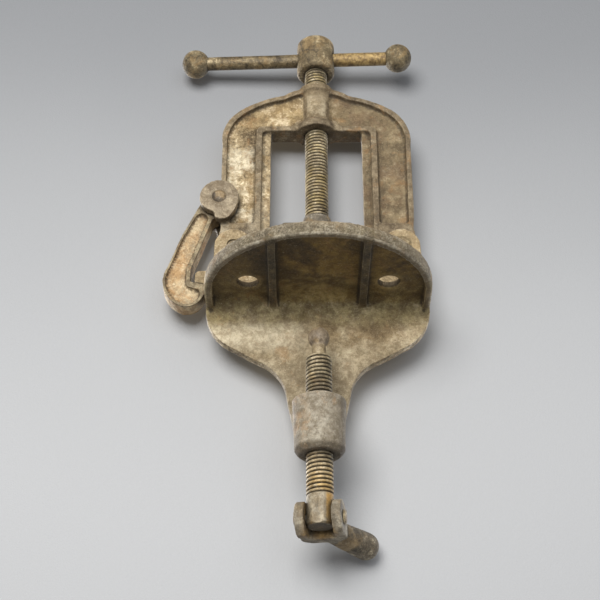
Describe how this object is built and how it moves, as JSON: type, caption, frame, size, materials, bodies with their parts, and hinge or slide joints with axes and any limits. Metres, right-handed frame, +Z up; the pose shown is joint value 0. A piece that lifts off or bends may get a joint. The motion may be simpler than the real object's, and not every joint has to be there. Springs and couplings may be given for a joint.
{
  "type": "hinged pipe vise",
  "caption": "Clamp-on hinged pipe vise: yoke with a latch hook, vee jaws, screw with a sliding tommy bar, and a bench clamp screw below a D-shaped base.",
  "frame": {"origin": "midway between the two bench bolt holes, on the bench plane under the base plate", "axes": "+Z up along the screw, +X to the right seen from the front edge of the plate, -Y towards the front edge"},
  "size_m": [0.1729, 0.1124, 0.3877],
  "materials": {
    "cast_iron": "rough",
    "dark_iron": "rough",
    "hook_iron": "rough",
    "screw_steel": "worn",
    "bar_steel": "worn",
    "pin_steel": "worn",
    "jaw_steel": "worn"
  },
  "bodies": {
    "base": {"base_casting": "cast_iron", "lower_jaw": "jaw_steel", "lower_jaw_pins": "pin_steel", "hinge_pin": "pin_steel", "locating_dowel": "pin_steel"},
    "yoke": {"yoke": "cast_iron", "latch_rivet": "pin_steel"},
    "latch": {"latch_hook": "hook_iron"},
    "jaw": {"upper_jaw": "dark_iron", "jaw_retaining_pins": "pin_steel"},
    "screw": {"main_screw": "screw_steel", "screw_head": "dark_iron", "head_pin": "pin_steel"},
    "bar": {"tommy_bar": "bar_steel", "bar_ball_left": "bar_steel", "bar_ball_right": "bar_steel"},
    "clamp_tip": {"clamp_ball_tip": "screw_steel"},
    "clamp_screw": {"clamp_screw": "screw_steel", "handle_rivet": "pin_steel"},
    "clamp_handle": {"clamp_handle": "dark_iron"}
  },
  "joints": [
    {"name": "yoke_hinge", "type": "hinge", "parent": "base", "child": "yoke", "pos_m": [0.055, 0.033, 0.044], "axis": [0, 1, 0], "range_deg": [0, 95]},
    {"name": "latch_pivot", "type": "hinge", "parent": "yoke", "child": "latch", "pos_m": [-0.0655, 0.033, 0.0835], "axis": [0, 1, 0], "range_deg": [0, 85]},
    {"name": "jaw_slide", "type": "slide", "parent": "yoke", "child": "jaw", "axis": [0, 0, 1], "range_m": [-0.0036, 0.0622]},
    {"name": "screw_turn", "type": "hinge", "parent": "jaw", "child": "screw", "pos_m": [0, 0.033, 0.15], "axis": [0, 0, 1], "range_deg": [-496.1, 8787.4]},
    {"name": "bar_slide", "type": "slide", "parent": "screw", "child": "bar", "axis": [0.999, -0.0454, 0], "range_m": [-0.0355, 0.0635]},
    {"name": "clamp_advance", "type": "slide", "parent": "base", "child": "clamp_tip", "axis": [0, 0, 1], "range_m": [-0.0182, 0.0252]},
    {"name": "clamp_turn", "type": "hinge", "parent": "clamp_tip", "child": "clamp_screw", "pos_m": [0, 0.003, -0.09], "axis": [0, 0, 1], "range_deg": [-2551.2, 3401.6]},
    {"name": "handle_fold", "type": "hinge", "parent": "clamp_screw", "child": "clamp_handle", "pos_m": [0, 0.003, -0.149], "axis": [0.9781, -0.2079, 0], "range_deg": [-80, 5]}
  ],
  "couplings": [
    {"joint": "jaw_slide", "follows": "screw_turn", "m_per_rad": 0.00040425},
    {"joint": "clamp_advance", "follows": "clamp_turn", "m_per_rad": 0.00040425}
  ]
}
